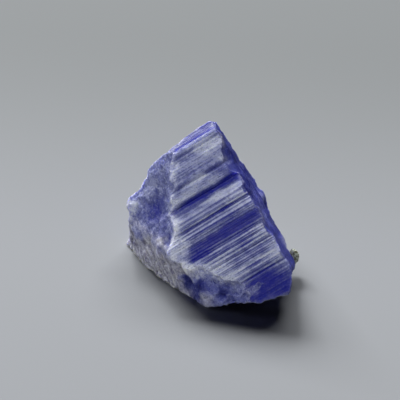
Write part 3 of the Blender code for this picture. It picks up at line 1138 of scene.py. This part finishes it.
def zoisite_finish():
    """Clear violet-blue stone under a frosted skin, lilac where it is fresh and waxy where grey."""
    finish, tree = new_finish("zoisite")
    at = stone_values(tree)
    at.veil, at.worn = veil_wear_and_sheen(at)
    scored_height = at.scored * (at.broad_crest * 0.05 + at.fine_crest * 0.025)
    broken_height = (1.0 - at.grown) * (at.speck * 0.10 + at.brushed * 0.18)
    height = scored_height + at.sand * 0.05 + broken_height
    sockets = {"Height": height, "Distance": METRES, "Strength": 1.0}
    relief = tree.node("ShaderNodeBump", None, sockets)
    sockets = {
        "Base Color": tree.mix(at.veil, CLEAR_TINT, CLEAR_PALE),
        "Roughness": 0.08 + at.veil * 0.30 + at.haze * 0.30,
        "IOR": ZOISITE_INDEX,
        "Transmission Weight": 1.0,
        "Normal": relief,
    }
    clear = tree.node("ShaderNodeBsdfPrincipled", None, sockets)
    sockets = {
        "Base Color": tree.mix(at.grey.between(*GREY_STEP), lilac_skin(tree, at), waxy_skin(tree, at)),
        "Roughness": 0.50 - at.crest.between(0.0, 0.4) * 0.15,
        "IOR": SKIN_INDEX,
        "Specular IOR Level": SKIN_SHINE,
        "Subsurface Weight": 1.0,
        "Subsurface Radius": SKIN_DEPTH,
        "Subsurface Scale": SKIN_DEPTH_SCALE,
        "Normal": relief,
    }
    frosted = tree.node("ShaderNodeBsdfPrincipled", None, sockets)
    share = 0.45 + at.veil * 0.50 + at.worn * 0.5 + at.grey * 0.5 + at.haze * 0.75
    surface = tree.node("ShaderNodeMixShader", None, {0: share.clamped(), 1: clear, 2: frosted})
    sockets = {"Color": INSIDE_TINT, "Density": INSIDE_DENSITY}
    tree.show(surface, tree.node("ShaderNodeVolumeAbsorption", None, sockets))
    return finish


def matrix_finish():
    """Greenish grey grain, speckled dark olive."""
    finish, tree = new_finish("matrix")
    place = object_place(tree)
    strewn = tree.node("ShaderNodeTexVoronoi", None, {"Vector": place, "Scale": 3.6}, "Distance")
    grit = tree.noise(place, 6.0, 4.0, 0.7)
    spots = (strewn + (grit - 0.5) * 0.5).between(0.42, 0.62)
    pale = tree.mix(grit.between(0.3, 0.7), GRAIN_DARK, GRAIN_PALE)
    colour = tree.mix(spots, pale, GRAIN_SPOT)
    relief = tree.node("ShaderNodeBump", None, {"Height": grit * 0.12, "Distance": METRES})
    sockets = {"Base Color": colour, "Roughness": 0.5 + grit * 0.3, "Normal": relief}
    tree.show(tree.node("ShaderNodeBsdfPrincipled", None, sockets))
    return finish


def floor_finish():
    """Matt pale grey card, with painted shade that makes it a little darker towards the back."""
    finish, tree = new_finish("studio_card")
    back = tree.dot(object_place(tree), FLOOR_BACKWARD)
    colour = tree.mix(back.between(*FLOOR_SPAN), FLOOR_NEAR, FLOOR_FAR)
    tree.show(tree.node("ShaderNodeBsdfPrincipled", None, {"Base Color": colour, "Roughness": 0.8}))
    return finish


# ---------------- the studio
def studio_floor():
    half = FLOOR_SIZE * METRES / 2.0
    mesh = bpy.data.meshes.new("floor")
    corners = [(-half, -half, 0.0), (half, -half, 0.0), (half, half, 0.0), (-half, half, 0.0)]
    mesh.from_pydata(corners, [], [(0, 1, 2, 3)])
    mesh.materials.append(floor_finish())
    return add_object("floor", mesh)


def camera():
    rise = math.radians(SIGHT_ELEVATION)
    across = Vector((1.0, 0.0, 0.0))
    up = Vector((0.0, math.sin(rise), math.cos(rise)))
    back = Vector((0.0, -math.cos(rise), math.sin(rise)))
    data = bpy.data.cameras.new("camera")
    data.sensor_width = SENSOR
    data.lens = SENSOR * SIGHT_DISTANCE / SIGHT_WIDTH
    data.clip_start, data.clip_end = (reach * METRES for reach in SIGHT_CLIP)
    made = bpy.data.objects.new("camera", data)
    bpy.context.scene.collection.objects.link(made)
    turned = Matrix((across, up, back)).transposed().to_4x4()
    made.matrix_world = Matrix.Translation(SIGHT_FROM * METRES) @ turned
    bpy.context.scene.camera = made


def softbox(name, place, colour, only=None):
    """A light that faces the stone; only lists the pieces that it lights, if not all."""
    azimuth, elevation, width, height, roll, power = place
    data = bpy.data.lights.new(name, "AREA")
    data.shape = "RECTANGLE"
    data.size = width * METRES
    data.size_y = height * METRES
    data.energy = power
    data.color = colour
    made = bpy.data.objects.new(name, data)
    bpy.context.scene.collection.objects.link(made)
    away = direction(azimuth, elevation)
    turned = away.to_track_quat("Z", "Y").to_matrix() @ Matrix.Rotation(math.radians(roll), 3, "Z")
    made.matrix_world = Matrix.Translation((HEART + away * LIGHT_DISTANCE) * METRES) @ turned.to_4x4()
    if only:
        lit = bpy.data.collections.new("lit by " + name)
        for piece in only:
            lit.objects.link(piece)
        made.light_linking.receiver_collection = lit


def studio_light(pieces):
    for name, place in KEYS.items():
        softbox(name, place, KEY_COLOUR)
    for name, place in FILLS.items():
        softbox(name, place, FILL_COLOUR, pieces)
    world = bpy.data.worlds.new("studio")
    bpy.context.scene.world = world
    world.use_nodes = True
    world.node_tree.nodes["Background"].inputs["Color"].default_value = WORLD_COLOUR
    bpy.context.scene.view_settings.view_transform = "Standard"


# ---------------- putting it together
zoisite = crystal(zoisite_finish())
crumb = matrix_grain(matrix_finish())
for piece, node, slot in ((zoisite, "tanzanite_crystal", "zoisite"), (crumb, "matrix_grain", "matrix")):
    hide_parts(node)
    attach(piece, "root")
studio_floor()
camera()
studio_light([zoisite, crumb])
